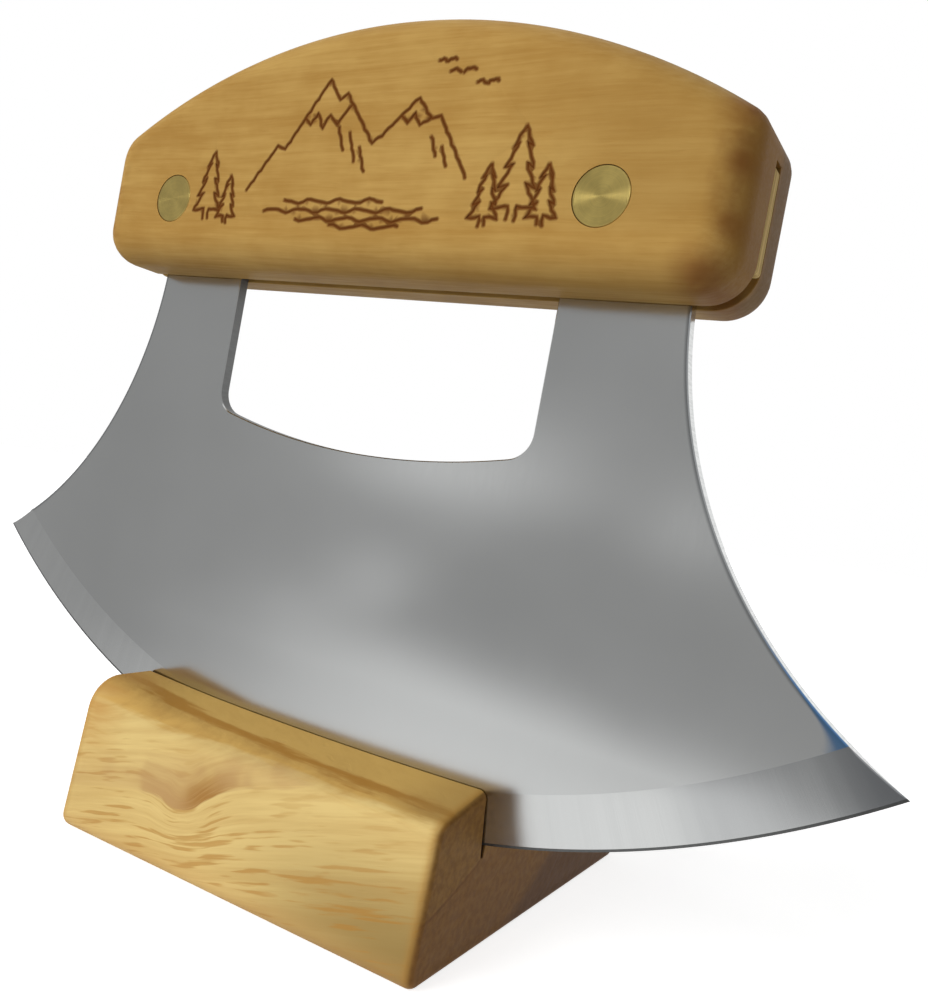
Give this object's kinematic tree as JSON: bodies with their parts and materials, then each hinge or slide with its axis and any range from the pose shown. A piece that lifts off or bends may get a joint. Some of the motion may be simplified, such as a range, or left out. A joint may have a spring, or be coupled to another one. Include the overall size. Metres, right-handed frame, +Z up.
{
  "type": "ulu knife",
  "caption": "Ulu knife: a curved steel blade riveted into a crowned wooden handle over a finger window, standing in a slotted wooden stand that it lifts out of.",
  "frame": {"origin": "on the stand's flat base, under the middle of the slot", "axes": "+X along the slot, towards the side the knife leans to; +Y from the front of the stand to its back, across the blade; +Z up"},
  "size_m": [0.1699, 0.0704, 0.1326],
  "materials": {
    "stand_wood": "sanded and oiled, streaky grain with a brown knot",
    "handle_wood": "sanded and oiled, fine even grain",
    "strip_wood": "raw",
    "blade_steel": "satin faces with a ground edge",
    "rivet_brass": "turned and sanded flush"
  },
  "bodies": {
    "stand": {"stand": "stand_wood"},
    "knife": {"blade": "blade_steel", "handle": "handle_wood", "left_kerf_strip": "strip_wood", "right_kerf_strip": "strip_wood", "left_rivet_pin": "rivet_brass", "left_rivet_tube": "rivet_brass", "right_rivet_pin": "rivet_brass", "right_rivet_tube": "rivet_brass"}
  },
  "joints": [
    {"name": "knife_lift", "type": "slide", "parent": "stand", "child": "knife", "axis": [0, 0, 1], "range_m": [0, 0.06]}
  ]
}
